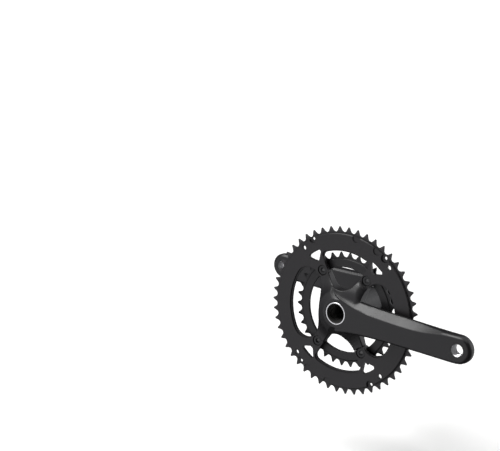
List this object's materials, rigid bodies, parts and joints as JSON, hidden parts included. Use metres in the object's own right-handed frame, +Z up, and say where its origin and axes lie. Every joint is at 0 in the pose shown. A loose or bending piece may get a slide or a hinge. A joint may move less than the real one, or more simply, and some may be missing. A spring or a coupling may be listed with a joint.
{
  "type": "bicycle crankset",
  "caption": "Two-piece road bicycle crankset: crank arms on a hollow spindle, double chainring on a four-arm spider, and external-cup bottom bracket.",
  "frame": {"origin": "on the spindle axis, in the middle plane of the bottom bracket shell", "axes": "+X along the right-hand crank arm, +Y to the left of the bicycle along the spindle axis (drive side on -Y), +Z up"},
  "size_m": [0.3732, 0.15, 0.2074],
  "materials": {
    "arm_black": "satin black anodised",
    "ring_black": "satin black anodised",
    "inner_ring_black": "satin black anodised",
    "bolt_black": "black oxide",
    "pin_steel": "bright riveted steel",
    "spindle_steel": "turned and polished steel",
    "bearing_steel": "ground and polished",
    "cage_polymer": "moulded",
    "seal_rubber": "moulded",
    "ring_rubber": "moulded",
    "cup_black": "black anodised",
    "sleeve_polymer": "moulded",
    "bush_polymer": "moulded",
    "cap_polymer": "moulded",
    "stopper_polymer": "moulded"
  },
  "bodies": {
    "bottom_bracket": {"right_cup": "cup_black", "left_cup": "cup_black", "inner_sleeve": "sleeve_polymer", "sleeve_o_rings": "ring_rubber", "right_bearing_outer_race": "bearing_steel", "left_bearing_outer_race": "bearing_steel", "right_bearing_seals": "seal_rubber", "left_bearing_seals": "seal_rubber"},
    "crank": {"right_crank_arm": "arm_black", "left_crank_arm": "arm_black", "outer_chainring": "ring_black", "inner_chainring": "inner_ring_black", "chainring_bolts": "bolt_black", "chainring_nuts": "bolt_black", "shift_pins": "pin_steel", "chain_drop_pin": "pin_steel", "spindle": "spindle_steel", "spindle_o_ring": "ring_rubber", "pinch_bolts": "bolt_black", "pinch_bolt_washers": "bolt_black", "stopper_plate": "stopper_polymer", "preload_cap": "cap_polymer", "right_bearing_inner_race": "bearing_steel", "right_bearing_bush": "bush_polymer", "left_bearing_inner_race": "bearing_steel", "left_bearing_bush": "bush_polymer"},
    "right_cage": {"right_ball_cage": "cage_polymer", "right_bearing_balls": "bearing_steel"},
    "left_cage": {"left_ball_cage": "cage_polymer", "left_bearing_balls": "bearing_steel"}
  },
  "joints": [
    {"name": "crank_spin", "type": "hinge", "parent": "bottom_bracket", "child": "crank", "pos_m": [0, 0, 0], "axis": [0, 1, 0], "continuous": true},
    {"name": "right_cage_spin", "type": "hinge", "parent": "bottom_bracket", "child": "right_cage", "pos_m": [0, -0.0406, 0], "axis": [0, 1, 0], "continuous": true},
    {"name": "left_cage_spin", "type": "hinge", "parent": "bottom_bracket", "child": "left_cage", "pos_m": [0, 0.0406, 0], "axis": [0, 1, 0], "continuous": true}
  ],
  "couplings": [
    {"joint": "right_cage_spin", "follows": "crank_spin", "ratio": 0.44355},
    {"joint": "left_cage_spin", "follows": "crank_spin", "ratio": 0.44355}
  ]
}
